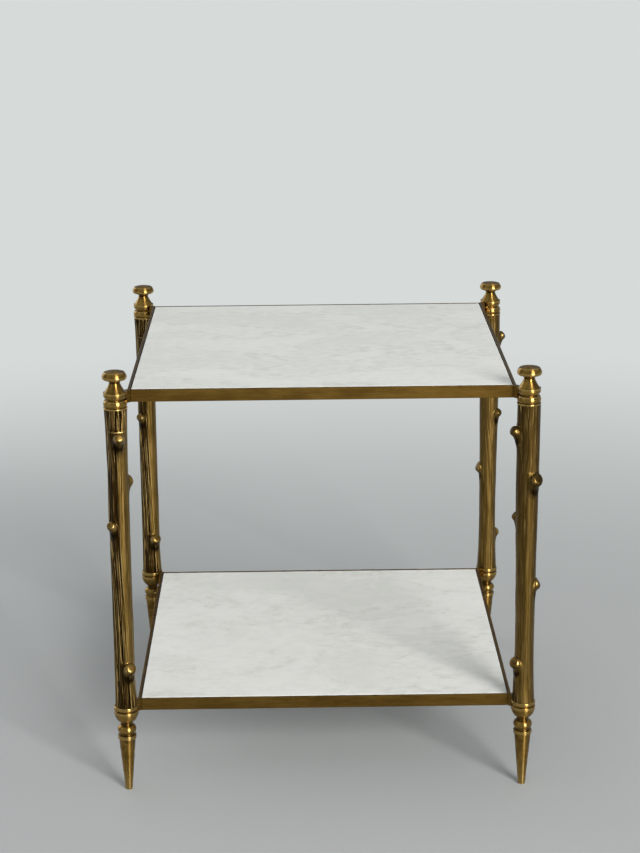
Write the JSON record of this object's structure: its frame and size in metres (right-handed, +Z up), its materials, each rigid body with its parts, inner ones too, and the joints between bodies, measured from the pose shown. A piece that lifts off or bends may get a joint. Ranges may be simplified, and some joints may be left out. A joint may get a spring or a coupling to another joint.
{
  "type": "side table",
  "caption": "Square two-tier side table with cast brass twig legs, turned feet and finials, and marble slabs set flush in brass angle frames.",
  "frame": {"origin": "on the floor, midway between the four feet", "axes": "+Z up, -Y the front that the picture shows, +X to the right seen from the front"},
  "size_m": [0.473, 0.4762, 0.4825],
  "materials": {
    "cast_brass": "cast bark relief, aged, dark in the furrows and rubbed bright on the ridges",
    "turned_brass": "turned and polished, lightly aged",
    "frame_brass": "satin, browned",
    "stud_brass": "plain",
    "marble": "honed white marble with faint grey veins"
  },
  "bodies": {
    "root": {"foot_front_left": "turned_brass", "foot_front_right": "turned_brass", "foot_back_left": "turned_brass", "foot_back_right": "turned_brass", "bottom_collar_front_left": "turned_brass", "bottom_collar_front_right": "turned_brass", "bottom_collar_back_left": "turned_brass", "bottom_collar_back_right": "turned_brass", "top_collar_front_left": "turned_brass", "top_collar_front_right": "turned_brass", "top_collar_back_left": "turned_brass", "top_collar_back_right": "turned_brass", "finial_front_left": "turned_brass", "finial_front_right": "turned_brass", "finial_back_left": "turned_brass", "finial_back_right": "turned_brass", "leg_front_left": "cast_brass", "leg_front_right": "cast_brass", "leg_back_left": "cast_brass", "leg_back_right": "cast_brass", "foot_stud_front_left": "stud_brass", "foot_stud_front_right": "stud_brass", "foot_stud_back_left": "stud_brass", "foot_stud_back_right": "stud_brass", "finial_stud_front_left": "stud_brass", "finial_stud_front_right": "stud_brass", "finial_stud_back_left": "stud_brass", "finial_stud_back_right": "stud_brass", "lower_lug_front_left": "frame_brass", "lower_lug_front_right": "frame_brass", "lower_lug_back_left": "frame_brass", "lower_lug_back_right": "frame_brass", "upper_lug_front_left": "frame_brass", "upper_lug_front_right": "frame_brass", "upper_lug_back_left": "frame_brass", "upper_lug_back_right": "frame_brass", "lower_rail_front": "frame_brass", "lower_rail_right": "frame_brass", "lower_rail_back": "frame_brass", "lower_rail_left": "frame_brass", "lower_marble": "marble", "upper_rail_front": "frame_brass", "upper_rail_right": "frame_brass", "upper_rail_back": "frame_brass", "upper_rail_left": "frame_brass", "upper_marble": "marble"}
  },
  "joints": []
}
